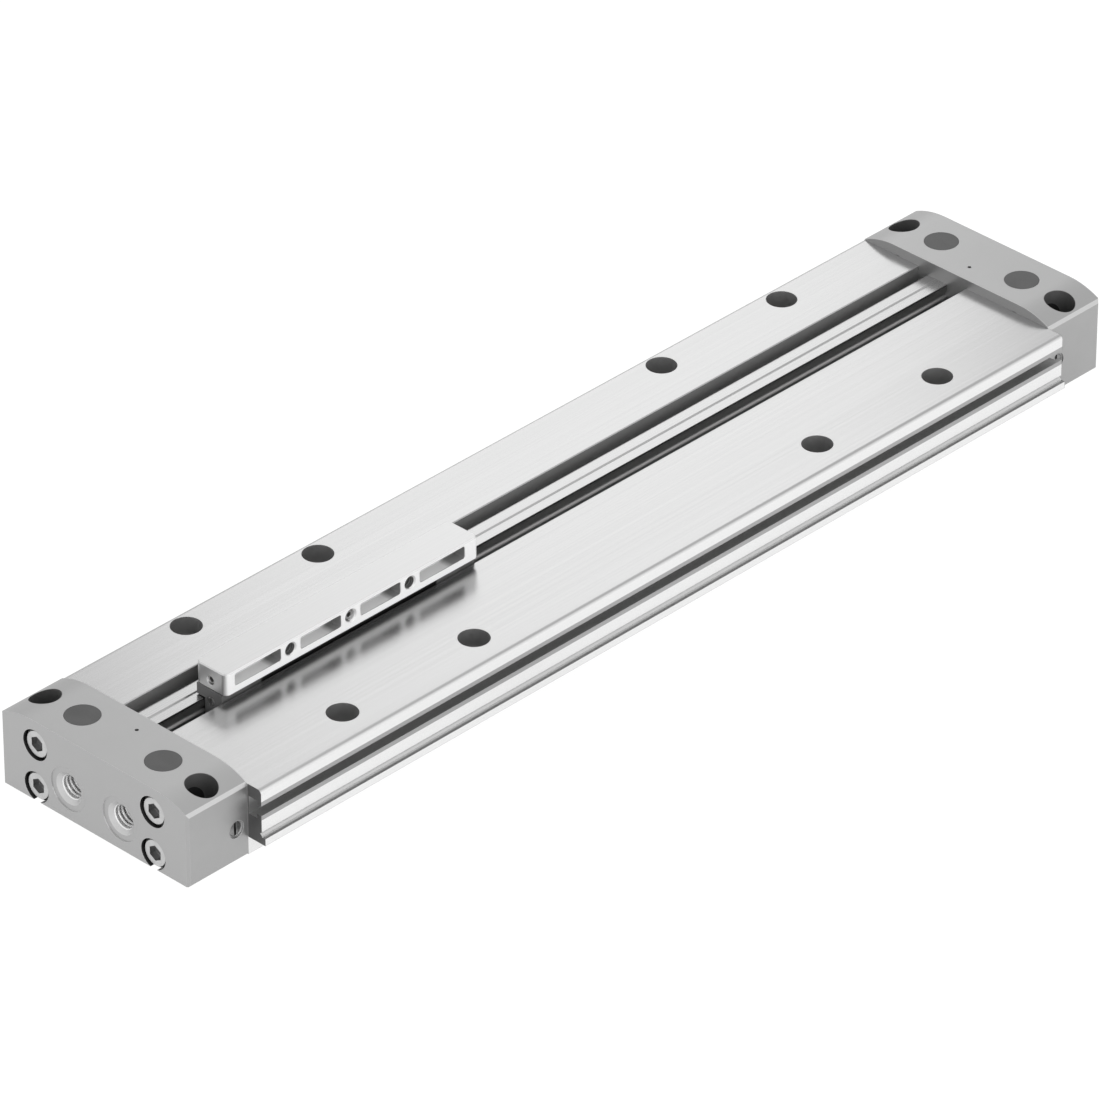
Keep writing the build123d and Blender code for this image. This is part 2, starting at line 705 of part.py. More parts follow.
end_plug = socket_screw(bar_end_screw_radius, bar_end_screw_length / 2, bar_end_screw_radius - ring_play,
                        bar_end_screw_length / 2, end_screw_radius * 2, bar_end_screw_radius)
with BuildPart() as bar_end_screws:
    for facing in (-1, 1):
        screw_x = slide_x + facing * (half_bar - bar_end_screw_recess - bar_end_screw_length / 2)
        with Locations(Plane(origin=(screw_x, bar_end_y, bar_end_z), z_dir=(facing, 0, 0)).location):
            add(end_plug)
save(bar_end_screws, "bar_end_screws")

# Carriage astride the guide rail: a bridge, a leg in each channel and a pad that carries the bar
with BuildPart() as guide_carriage:
    with BuildSketch(Plane.YZ.offset(slide_x)):
        yz_box(right_leg_outer, left_leg_outer, bridge_bottom, carriage_wing_top)
        yz_box(right_leg_outer, bar_left - carriage_pad_inset, bridge_bottom, bar_bottom)
        yz_box(right_leg_outer, right_leg_inner, right_leg_bottom, bar_bottom)
        yz_box(left_leg_inner, left_leg_outer, left_leg_bottom, carriage_wing_top)
        with Locations((right_ball_y, ball_z), (left_ball_y, ball_z)):
            Circle(groove_radius, mode=Mode.SUBTRACT)
        with Locations((return_bore_y, return_bore_z), (left_return_y, left_return_z)):
            Circle(groove_radius, mode=Mode.SUBTRACT)
    extrude(amount=half_carriage, both=True)
    for offset in bar_screw_x:
        rod((slide_x + offset, bar_screw_y, right_leg_bottom), (0, 0, 1), bar_screw_radius + bar_screw_play,
            bar_bottom - right_leg_bottom, Mode.SUBTRACT)
        rod((slide_x + offset, bar_screw_y, right_leg_bottom), (0, 0, 1),
            bar_screw_head_radius + bar_screw_play,
            bar_screw_head_length, Mode.SUBTRACT)
    for offset in (-driver_screw_x, driver_screw_x):
        rod((slide_x + offset, bar_screw_y, right_leg_bottom), (0, 0, 1), bar_screw_radius + bar_screw_play,
            bar_screw_reach * 2, Mode.SUBTRACT)
    for facing in (-1, 1):
        for y, z in ((end_screw_y, end_screw_z), (end_screw_left_y, left_return_z)):
            rod((slide_x + facing * half_carriage, y, z), (-facing, 0, 0),
                end_screw_radius + end_screw_play,
                end_screw_reach + end_screw_play, Mode.SUBTRACT)
save(guide_carriage, "guide_carriage")

# Balls that carry the carriage, one row on each side of the rail
for side, y in (("right", right_ball_y), ("left", left_ball_y)):
    with BuildPart() as ball_row:
        for i in range(balls_per_row):
            with Locations((slide_x + ball_pitch * (i - (balls_per_row - 1) / 2), y, ball_z)):
                Sphere(ball_radius)
    save(ball_row, f"{side}_ball_row")

# End pieces that turn the balls round: a full section, and a nose under the bar that wipes the rail
for side, facing in (("near", -1), ("far", 1)):
    with BuildPart() as end_piece:
        with BuildSketch(Plane.YZ.offset(slide_x + facing * half_carriage)):
            yz_box(right_leg_outer, left_leg_outer, bridge_bottom, carriage_wing_top)
            yz_box(right_leg_outer, right_leg_inner, right_leg_bottom, carriage_wing_top)
            yz_box(left_leg_inner, left_leg_outer, left_leg_bottom, carriage_wing_top)
        extrude(amount=facing * end_base_length)
        with BuildSketch(Plane.YZ.offset(slide_x + facing * half_carriage)):
            yz_box(right_leg_outer, right_leg_inner, right_leg_bottom, bar_bottom)
            yz_box(right_leg_outer, end_nose_left, bridge_bottom, bar_bottom)
        extrude(amount=facing * (half_bar - half_carriage))
        nose_x = slide_x + facing * half_bar
        base_x = slide_x + facing * (half_carriage + end_base_length)
        for x, y, z in ((nose_x, end_screw_y, end_screw_z), (base_x, end_screw_left_y, left_return_z)):
            rod((x, y, z), (-facing, 0, 0), end_screw_radius + end_screw_play, half_bar, Mode.SUBTRACT)
            rod((x, y, z), (-facing, 0, 0), end_screw_head_radius + end_screw_play, end_screw_head_length,
                Mode.SUBTRACT)
    save(end_piece, f"{side}_carriage_end")

with BuildPart() as carriage_end_screws:
    for facing in (-1, 1):
        for length, y, z in ((half_bar - half_carriage, end_screw_y, end_screw_z),
                             (end_base_length, end_screw_left_y, left_return_z)):
            face_x = slide_x + facing * (half_carriage + length)
            rod((face_x, y, z), (-facing, 0, 0), end_screw_head_radius, end_screw_head_length)
            rod((face_x, y, z), (-facing, 0, 0), end_screw_radius, length + end_screw_reach)
            x_box(face_x - end_screw_slot, face_x + end_screw_slot, y - end_screw_slot / 2,
                  y + end_screw_slot / 2,
                  z - end_screw_head_radius, z + end_screw_head_radius, Mode.SUBTRACT)
save(carriage_end_screws, "carriage_end_screws")

# Screws up through the right leg into the bar
bar_screw = socket_screw(bar_screw_head_radius, bar_screw_head_length, bar_screw_radius,
                         bar_bottom - right_leg_bottom - bar_screw_head_length + bar_screw_reach,
                         bar_screw_hex,
                         bar_screw_head_length / 2)
with BuildPart() as bar_screws:
    for offset in bar_screw_x:
        seat = (slide_x + offset, bar_screw_y, right_leg_bottom + bar_screw_head_length)
        with Locations(Location(seat, (180, 0, 0))):
            add(bar_screw)
save(bar_screws, "bar_screws")

# Driver: a plate under the right leg, an arm through the bore's slot and a head inside the yoke
with BuildPart() as driver:
    with BuildSketch(Plane.YZ.offset(slide_x)):
        yz_box(right_leg_outer, right_leg_inner, driver_plate_bottom, right_leg_bottom)
        yz_box(driver_head_y - driver_head_depth, right_leg_inner, bore_z - driver_arm_thickness / 2,
               bore_z + driver_arm_thickness / 2)
        yz_box(driver_head_y - driver_head_depth, driver_head_y, bore_z - driver_head_height / 2,
               bore_z + driver_head_height / 2)
    extrude(amount=driver_half_length, both=True)
    for offset in (-driver_screw_x, driver_screw_x):
        rod((slide_x + offset, bar_screw_y, driver_plate_bottom), (0, 0, 1),
            bar_screw_radius + bar_screw_play,
            right_leg_bottom, Mode.SUBTRACT)
        rod((slide_x + offset, bar_screw_y, driver_plate_bottom), (0, 0, 1),
            bar_screw_head_radius + bar_screw_play,
            bar_screw_head_length, Mode.SUBTRACT)
    for offset in (-driver_pin_x, driver_pin_x):
        rod((slide_x + offset, driver_head_y - driver_head_depth / 2, bore_z - driver_head_height),
            (0, 0, 1),
            driver_pin_radius + pin_play, 2 * driver_head_height, Mode.SUBTRACT)
save(driver, "driver")

driver_screw = socket_screw(bar_screw_head_radius, bar_screw_head_length, bar_screw_radius,
                            right_leg_bottom - driver_plate_bottom - bar_screw_head_length
                            + 2 * bar_screw_reach - ring_play, bar_screw_hex, bar_screw_head_length / 2)
with BuildPart() as driver_screws:
    for offset in (-driver_screw_x, driver_screw_x):
        seat = (slide_x + offset, bar_screw_y, driver_plate_bottom + bar_screw_head_length)
        with Locations(Location(seat, (180, 0, 0))):
            add(driver_screw)
save(driver_screws, "driver_screws")

# Yoke in the bore: a round bar with a channel for the band and the driver's head
with BuildPart() as piston_yoke:
    with BuildSketch(Plane.YZ.offset(slide_x)):
        with Locations((bore_y, bore_z)):
            Circle(yoke_radius)
        yz_box(yoke_channel_floor, band_seat, bore_z - yoke_channel_height / 2,
               bore_z + yoke_channel_height / 2,
               Mode.SUBTRACT)
    extrude(amount=piston_back, both=True)
    for facing in (-1, 1):
        rod((slide_x + facing * piston_back, bore_y, bore_z), (facing, 0, 0), tenon_radius, tenon_length)
        pin_x = slide_x + facing * (piston_front - piston_pin_setback)
        rod((pin_x, bore_y, bore_z - yoke_radius), (0, 0, 1), piston_pin_radius + pin_play, 2 * yoke_radius,
            Mode.SUBTRACT)
    for offset in (-driver_pin_x, driver_pin_x):
        rod((slide_x + offset, driver_head_y - driver_head_depth / 2, bore_z - yoke_radius), (0, 0, 1),
            driver_pin_radius + pin_play, 2 * yoke_radius, Mode.SUBTRACT)
save(piston_yoke, "piston_yoke")

with BuildPart() as driver_pins:
    for offset in (-driver_pin_x, driver_pin_x):
        rod((slide_x + offset, driver_head_y - driver_head_depth / 2, bore_z - driver_pin_half_length),
            (0, 0, 1),
            driver_pin_radius, 2 * driver_pin_half_length)
save(driver_pins, "driver_pins")

# Pistons with their cushion bosses, one at each end of the yoke
for side, facing in (("near", -1), ("far", 1)):
    outward = (facing, 0, 0)

    def on_axis(setback):
        """Point on the bore axis at a distance behind the piston's front face."""
        return (slide_x + facing * (piston_front - setback), bore_y, bore_z)

    with BuildPart() as piston:
        rod(on_axis(piston_length), outward, piston_radius, piston_length)
        rod(on_axis(0), outward, boss_radius, boss_length)
        chamfer(piston.edges().group_by(Axis.X)[-1 if facing > 0 else 0], boss_chamfer)
        for setback, width, inner_radius in ((seal_setback, seal_width, seal_inner_radius),
                                             (magnet_setback, magnet_width, magnet_inner_radius)):
            collar(on_axis(setback + width + ring_play), outward, piston_radius + 1,
                   inner_radius - ring_play,
                   width + 2 * ring_play, Mode.SUBTRACT)
        rod(on_axis(piston_length), outward, tenon_radius + tenon_play, tenon_length + tenon_play,
            Mode.SUBTRACT)
        pin_x, pin_y, pin_z = on_axis(piston_pin_setback)
        rod((pin_x, pin_y, pin_z - piston_radius), (0, 0, 1), piston_pin_radius + pin_play,
            2 * piston_radius,
            Mode.SUBTRACT)
    save(piston, f"{side}_piston")

with BuildPart() as piston_seals:
    for facing in (-1, 1):
        start = slide_x + facing * (piston_front - seal_setback - seal_width)
        collar((start, bore_y, bore_z), (facing, 0, 0), seal_outer_radius, seal_inner_radius, seal_width)
save(piston_seals, "piston_seals")

with BuildPart() as piston_magnets:
    for facing in (-1, 1):
        start = slide_x + facing * (piston_front - magnet_setback - magnet_width)
        collar((start, bore_y, bore_z), (facing, 0, 0), magnet_outer_radius, magnet_inner_radius,
               magnet_width)
save(piston_magnets, "piston_magnets")

with BuildPart() as piston_bumpers:
    for facing in (-1, 1):
        start = slide_x + facing * piston_front
        collar((start, bore_y, bore_z), (facing, 0, 0), bumper_outer_radius, boss_radius + bumper_play,
               bumper_thickness)
save(piston_bumpers, "piston_bumpers")

with BuildPart() as piston_pins:
    for facing in (-1, 1):
        pin_x = slide_x + facing * (piston_front - piston_pin_setback)
        rod((pin_x, bore_y, bore_z - piston_pin_half_length), (0, 0, 1), piston_pin_radius,
            2 * piston_pin_half_length)
save(piston_pins, "piston_pins")
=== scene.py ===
"""Finishes, screw threads, lamps and camera for a flat rodless pneumatic drive.

The drive is loaded in metres. X runs along the stroke, Y across, Z up, and the base plane is z = 0.
"""
import json
import math

import bmesh
import bpy
import numpy as np
from bpy.props import FloatProperty, FloatVectorProperty, PointerProperty
from bpy.types import Operator, Panel, PropertyGroup
from mathutils import Matrix, Vector


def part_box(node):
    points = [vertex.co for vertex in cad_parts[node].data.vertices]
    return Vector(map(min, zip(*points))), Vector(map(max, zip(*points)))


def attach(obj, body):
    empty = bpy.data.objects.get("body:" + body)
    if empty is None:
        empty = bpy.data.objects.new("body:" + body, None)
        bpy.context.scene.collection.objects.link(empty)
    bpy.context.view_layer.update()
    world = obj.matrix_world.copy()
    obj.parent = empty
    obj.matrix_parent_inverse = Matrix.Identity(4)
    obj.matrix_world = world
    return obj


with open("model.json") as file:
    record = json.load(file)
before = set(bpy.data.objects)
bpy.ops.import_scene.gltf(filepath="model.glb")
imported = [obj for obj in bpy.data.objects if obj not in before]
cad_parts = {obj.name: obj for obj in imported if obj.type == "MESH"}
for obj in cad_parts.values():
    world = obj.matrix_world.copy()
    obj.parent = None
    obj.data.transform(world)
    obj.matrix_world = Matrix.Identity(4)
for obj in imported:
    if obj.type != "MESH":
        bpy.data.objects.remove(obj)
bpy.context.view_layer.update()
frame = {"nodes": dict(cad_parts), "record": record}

bl_info = {
    "name": "Rodless drive dressing",
    "version": (1, 0, 0),
    "blender": (4, 5, 0),
    "location": "3D View > Sidebar > Drive",
    "description": "Finishes, screw threads, lamps and camera for a flat rodless pneumatic drive",
    "category": "Object",
}

NODES = frame["nodes"]
MOUNTS = {m["name"]: m for m in frame["record"]["mounts"]}
MM = 0.001

# Places on the drive that the finishes need; a skin is how far off a surface a mask ends
SKIN = 0.05 * MM
HEAD_SEAT_RADIUS = 2.7 * MM
BARREL_LOW, BARREL_HIGH = (Vector(corner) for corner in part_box("profile_barrel"))
RAIL_HIGH = Vector(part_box("guide_rail")[1])
BAR_LOW, BAR_HIGH = (Vector(corner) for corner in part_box("slide_bar"))
CHANNEL_RIGHT = -2.37 * MM
CHANNEL_LEFT = 8.67 * MM
CHANNEL_SHADE = (0.1 * MM, 0.35 * MM)
FLANK_SHADE = (0.25 * MM, 0.8 * MM)
CAP_HIGH = Vector(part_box("far_end_cap")[1])
HEAD_HIGH = Vector(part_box("cap_screws")[1])
CAP_SCREW_Y = 13.5 * MM
CAP_SCREW_LOW = 2.7 * MM
CAP_SCREW_HIGH = 10.8 * MM
CAP_SCREW_RECESS = 2.85 * MM
HEXAGON_REACH = 1.5 * MM
PORT_FACE_DEPTH = 0.16 * MM
PORT_MOUTH_RADIUS = 3.0 * MM
PORT_MOUTH_DEPTH = 0.85 * MM
PORT_BORE_RADIUS = 2.3 * MM
PORT_DEPTH = 7.2 * MM
PUNCH_X = 99.2 * MM
PUNCH_RADIUS = 0.34 * MM
PUNCH_DEPTH = 0.5 * MM
SLOT_MIDDLE = 9.68 * MM
SLOT_HALF = 1.75 * MM
SLOT_LIP = 0.1 * MM
SLOT_BOTTOM = -21.6 * MM
POCKET_SKIN = 0.15 * MM
POCKET_DEPTH = 2.4 * MM
POCKET_RIM_LOW = 0.5 * MM
POCKET_RIM_HIGH = 0.4 * MM
POCKET_END_NEAR = 1.0 * MM
POCKET_END_FAR = 2.0 * MM
BAR_THREAD_RADIUS = 1.2 * MM
BAR_THREAD_SKIN = 0.25 * MM

# Shares of a finish's own tone for painted light and shade: shade on the rail ends, cap tops and cap
# holes, painted light on the cap faces and bar ends, and a painted shadow in the far parts of the pockets
RAIL_END_SHADE_SHARE = 0.4
CAP_TOP_SHADE_SHARE = 0.9
CAP_FACE_LIGHT_SHARE = 1.08
CAP_HOLE_SHADE_SHARE = 0.42
BAR_END_LIGHT_SHARE = 1.6
POCKET_SHADOW_SHARE = 0.35

# Greys of small places: black for the painted shade in the caps' screw recesses and punch mark, the
# ports' bore grey, painted shade in the bar's holes, a painted highlight on the bar's edges and painted
# shade in the hexagons
RECESS_SHADE_BLACK = 0.05
PORT_BORE_TONE = 0.88
BAR_HOLE_SHADE = 0.12
BAR_EDGE_HIGHLIGHT = 0.95
HEXAGON_SHADE = 0.33

# Screw threads: where the ridge starts outside the mount's plane, its length and its steps
PORT_THREAD_START = 0.2 * MM
PORT_THREAD_LENGTH = 5.8 * MM
BAR_THREAD_START = 0.3 * MM
BAR_THREAD_LENGTH = 4.2 * MM
STEPS_A_TURN = 40


# Shader building


class Value:
    """A shader socket that takes Python operators; each operator adds one Math node."""

    def __init__(self, finish, socket):
        self.finish = finish
        self.socket = socket

    def _math(self, operation, *terms, clamp=False):
        node = self.finish.tree.nodes.new("ShaderNodeMath")
        node.operation = operation
        node.use_clamp = clamp
        for slot, term in enumerate(terms):
            if isinstance(term, Value):
                self.finish.tree.links.new(term.socket, node.inputs[slot])
            else:
                node.inputs[slot].default_value = term
        return Value(self.finish, node.outputs[0])

    def __add__(self, other):
        return self._math("ADD", self, other)

    __radd__ = __add__

    def __sub__(self, other):
        return self._math("SUBTRACT", self, other)

    def __rsub__(self, other):
        return self._math("SUBTRACT", other, self)

    def __mul__(self, other):
        return self._math("MULTIPLY", self, other)

    __rmul__ = __mul__

    def __truediv__(self, other):
        return self._math("DIVIDE", self, other)

    def __rtruediv__(self, other):
        return self._math("DIVIDE", other, self)

    def __pow__(self, other):
        return self._math("POWER", self, other)

    def above(self, limit):
        """1 where the value is over the limit, 0 elsewhere."""
        return self._math("GREATER_THAN", self, limit)

    def below(self, limit):
        """1 where the value is under the limit, 0 elsewhere."""
        return self._math("LESS_THAN", self, limit)

    def between(self, low, high):
        """1 from low to high, 0 elsewhere."""
        return self.above(low) * self.below(high)

    def least(self, other):
        """The smaller of two values."""
        return self._math("MINIMUM", self, other)

    def most(self, other):
        """The larger of two values."""
        return self._math("MAXIMUM", self, other)

    def part(self):
        """What is left of the value over a whole number."""
        return self._math("FRACT", self)

    def clamped(self):
        """The value held between 0 and 1."""
        return self._math("ADD", self, 0.0, clamp=True)

    def distance(self):
        """The value without its sign."""
        return self._math("ABSOLUTE", self)

    def reach(self, other):
        """The distance from an axis that lies the two values away, along two directions."""
        return (self ** 2.0 + other ** 2.0) ** 0.5

    def ramp(self, low, high):
        """0 below low, 1 above high and a straight line between."""
        return ((self - low) / (high - low)).clamped()


class Finish:
    """One node material or world; call node() for any node and surface() to close a material."""

    def __init__(self, owner):
        self.owner = owner
        owner.use_nodes = True
        self.tree = owner.node_tree
        self.tree.nodes.clear()

    @property
    def place(self):
        """Object coordinates in metres."""
        return self.node("ShaderNodeTexCoord", {}, {})["Object"]

    def node(self, kind, settings, inputs):
        """Adds a node of a kind, sets it up, then fills its sockets; returns its outputs by name."""
        node = self.tree.nodes.new(kind)
        for key, value in settings.items():
            setattr(node, key, value)
        for key, value in inputs.items():
            socket = node.inputs[key]
            if isinstance(value, Value):
                self.tree.links.new(value.socket, socket)
            else:
                socket.default_value = value
        return {output.name: Value(self, output) for output in node.outputs if output.enabled}

    def stretched(self, scale):
        """Object coordinates scaled along each axis, in cells a metre."""
        return self.node("ShaderNodeMapping", {}, {"Vector": self.place, "Scale": scale})["Vector"]

    def noise(self, scale, detail=3.0, roughness=0.55, distortion=0.0):
        """Noise between about 0.3 and 0.7 with its own number of cells a metre along each axis."""
        return self.node("ShaderNodeTexNoise", {}, {"Vector": self.stretched(scale), "Scale": 1.0,
                                                    "Detail": detail, "Roughness": roughness,
                                                    "Distortion": distortion})["Fac"]

    def axes(self):
        """The three Object coordinates in metres as values."""
        parts = self.node("ShaderNodeSeparateXYZ", {}, {"Vector": self.place})
        return parts["X"], parts["Y"], parts["Z"]

    def facing(self):
        """The three parts of the true surface normal."""
        normal = self.node("ShaderNodeNewGeometry", {}, {})["True Normal"]
        parts = self.node("ShaderNodeSeparateXYZ", {}, {"Vector": normal})
        return parts["X"], parts["Y"], parts["Z"]

    def rounded(self, radius):
        """The normal as if every edge had a small round."""
        return self.node("ShaderNodeBevel", {"samples": 6}, {"Radius": radius})["Normal"]

    def edges(self, radius):
        """About 1 on a sharp edge and 0 on flat faces."""
        rounded = self.rounded(radius)
        flat = self.node("ShaderNodeNewGeometry", {}, {})["True Normal"]
        dot = self.node("ShaderNodeVectorMath", {"operation": "DOT_PRODUCT"}, {0: rounded, 1: flat})
        return (1.0 - dot["Value"]).ramp(0.01, 0.22)

    def blend(self, factor, first, second):
        """A colour that goes from first to second with the factor."""
        inputs = {0: factor, 6: first, 7: second}
        return self.node("ShaderNodeMix", {"data_type": "RGBA"}, inputs)["Result"]

    def chamfers(self):
        """1 on the slanted strips along the stroke, which face up and sideways at once."""
        _, y, z = self.facing()
        return z.between(0.3, 0.75) * y.distance().above(0.6)

    def hole_walls(self):
        """1 on the walls and seats of the mounting holes.

        The holes stand at plus and minus the same places, so the distance to the nearest axis is worked
        out once, in the folded quarter of the drive.
        """
        x, y, _ = self.axes()
        along = None
        for name in ("mounting_holes_inner", "mounting_holes_outer", "mounting_holes_caps"):
            offset = (x.distance() - MOUNTS[name]["dims"]["spacing_x_mm"] * MM / 2).distance()
            along = offset if along is None else along.least(offset)
        across = y.distance() - MOUNTS["mounting_holes_inner"]["dims"]["spacing_y_mm"] * MM / 2
        return along.reach(across).below(HEAD_SEAT_RADIUS + SKIN)

    def cap_screw_distance(self):
        """The distance from the axis of the nearest cap screw."""
        _, y, z = self.axes()
        low, high = ((y.distance() - CAP_SCREW_Y).reach(z - height)
                     for height in (CAP_SCREW_LOW, CAP_SCREW_HIGH))
        return low.least(high)

    def seen(self):
        """1 for the camera and in reflections, 0 for the light that falls on things."""
        path = self.node("ShaderNodeLightPath", {}, {})
        return path["Is Camera Ray"].most(path["Is Glossy Ray"])

    def bump(self, height, strength, distance, edge_radius=None):
        """Raises the surface by a height map, over edges with a small round where a radius is given."""
        inputs = {"Height": height, "Strength": strength, "Distance": distance}
        if edge_radius is not None:
            inputs["Normal"] = self.rounded(edge_radius)
        return self.node("ShaderNodeBump", {}, inputs)["Normal"]

    def surface(self, **inputs):
        """Closes the material with one principled surface."""
        sockets = {key.replace("_", " "): value for key, value in inputs.items()}
        shader = self.node("ShaderNodeBsdfPrincipled", {}, sockets)["BSDF"]
        self.node("ShaderNodeOutputMaterial", {}, {"Surface": shader})
        return self.owner


def grey(tone, warmth=0.0):
    """A nearly neutral colour; warmth moves red up and blue down."""
    return (tone * (1 + warmth), tone, tone * (1 - warmth), 1.0)


def wear(nodes, material):
    """Puts one material on CAD nodes."""
    for name in nodes:
        mesh = NODES[name].data
        mesh.materials.clear()
        mesh.materials.append(material)


# Finishes


def extruded_anodised(settings):
    """Clear anodised extrusion: die lines along the stroke, satin sheen, edges a little brighter.

    The edges are brighter as a painted highlight, and the right side is painted brighter than the rest as
    if lit from that side. Holes, channels and the sensor slot are duller and painted darker as shade, and
    the end faces of the sensor rail are painted darker still, as shade in the corner beside the caps.
    """
    finish = Finish(bpy.data.materials.new("extruded anodised profile"))
    x, y, z = finish.axes()
    lines = finish.noise((9, 2600, 2600), detail=4)
    bands = finish.noise((3, 260, 260), detail=2)
    grain = finish.noise((5200, 5200, 5200), detail=2)
    tone = settings.profile_tone
    streaks = (lines * 0.6 + bands * 0.4).ramp(0.3, 0.7)
    base = finish.blend(streaks, grey(tone * 0.95), grey(tone * 1.03))
    # Painted light: the right side is painted brighter, as if lit from that side.
    side = finish.facing()[1].distance().ramp(0.5, 0.9) * y.below(0.0)
    base = finish.blend(side, base, grey(settings.painted_light_side_tone))
    # Painted highlight: the edges are painted brighter.
    base = finish.blend(finish.edges(0.18 * MM) * 0.6, base, grey(min(tone * 1.3, 0.95)))
    # Painted shade: holes, channels and the sensor slot are painted darker, and the rail's end faces
    # darker still.
    channels = y.between(CHANNEL_RIGHT, CHANNEL_LEFT) * (BARREL_HIGH.z - z).ramp(*CHANNEL_SHADE)
    slot = y.between(BARREL_LOW.y + SLOT_LIP, SLOT_BOTTOM)
    slot = slot * (z - SLOT_MIDDLE).distance().below(SLOT_HALF)
    rail_end = x.distance().above(BARREL_HIGH.x - SKIN) * y.below(SLOT_BOTTOM)
    painted_recess_shade = finish.hole_walls().most(channels).most(slot).most(rail_end)
    colour = finish.blend(painted_recess_shade, base, grey(settings.recess_shade_tone))
    colour = finish.blend(rail_end, colour, grey(settings.recess_shade_tone * RAIL_END_SHADE_SHARE))
    rough = settings.profile_roughness + (bands - 0.5) * 0.10 + (grain - 0.5) * 0.06 + painted_recess_shade * 0.25
    normal = finish.bump(lines * 0.7 + grain * 0.3, settings.die_lines, 0.02 * MM, 0.12 * MM)
    return finish.surface(Base_Color=colour, Metallic=0.92, Roughness=rough, Normal=normal)


def blasted_anodised(settings):
    """Cap finish: bead blasted and anodised, so an even fine grain and a soft sheen.

    The top is painted a little darker than the sides and the faces towards the ends a little lighter, as
    painted light and shade, and the edges carry a painted highlight. The chamfers along the top edges are
    painted bright as a highlight; the ports were cut after blasting and are bright. The mounting holes are
    painted darker and the screw recesses and the punch mark black, as shade.
    """
    finish = Finish(bpy.data.materials.new("blasted anodised cap"))
    x, y, z = finish.axes()
    grain = finish.noise((6500, 6500, 6500), detail=3)
    cloud = finish.noise((120, 120, 120), detail=3)
    tone = settings.cap_tone
    base = finish.blend(cloud.ramp(0.35, 0.65), grey(tone * 0.97), grey(tone * 1.02))
    # Painted light and shade: darker top, lighter end faces, and a painted highlight along the edges.
    ahead, _, upwards = finish.facing()
    base = finish.blend(upwards.ramp(0.5, 0.95), base, grey(tone * CAP_TOP_SHADE_SHARE))
    base = finish.blend(ahead.distance().ramp(0.6, 0.95), base, grey(tone * CAP_FACE_LIGHT_SHARE))
    base = finish.blend(finish.edges(0.2 * MM) * 0.7, base, grey(min(tone * 1.4, 0.95)))
    outwards = x.distance()
    ports = MOUNTS["near_ports"]
    port = (y.distance() - ports["dims"]["spacing_x_mm"] * MM / 2).reach(z - ports["pos_m"][2])
    mouth = outwards.between(-ports["pos_m"][0], CAP_HIGH.x - PORT_FACE_DEPTH)
    # Painted highlight on the chamfers along the top edges; the port mouths are bright cut metal.
    bright = finish.chamfers().most(port.below(PORT_MOUTH_RADIUS) * mouth)
    base = finish.blend(bright, base, grey(settings.highlight_and_cut_tone))
    bore = outwards.between(CAP_HIGH.x - PORT_DEPTH, CAP_HIGH.x - PORT_MOUTH_DEPTH)
    base = finish.blend(port.below(PORT_BORE_RADIUS) * bore, base, grey(PORT_BORE_TONE))
    # Painted shade: the mounting holes darker, the screw recesses and the punch mark black.
    recess = finish.cap_screw_distance().below(CAP_SCREW_RECESS) * outwards.below(CAP_HIGH.x - SKIN)
    punch = (outwards - PUNCH_X).reach(y).below(PUNCH_RADIUS) * z.above(CAP_HIGH.z - PUNCH_DEPTH)
    painted_recess_shade = finish.hole_walls()
    colour = finish.blend(painted_recess_shade, base, grey(settings.recess_shade_tone * CAP_HOLE_SHADE_SHARE))
    colour = finish.blend(recess.most(punch), colour, grey(RECESS_SHADE_BLACK))
    rough = settings.cap_roughness + (grain - 0.5) * 0.12 + (cloud - 0.5) * 0.06 + painted_recess_shade * 0.2
    normal = finish.bump(grain, 0.18, 0.03 * MM, 0.15 * MM)
    return finish.surface(Base_Color=colour, Metallic=0.85, Roughness=rough, Normal=normal)


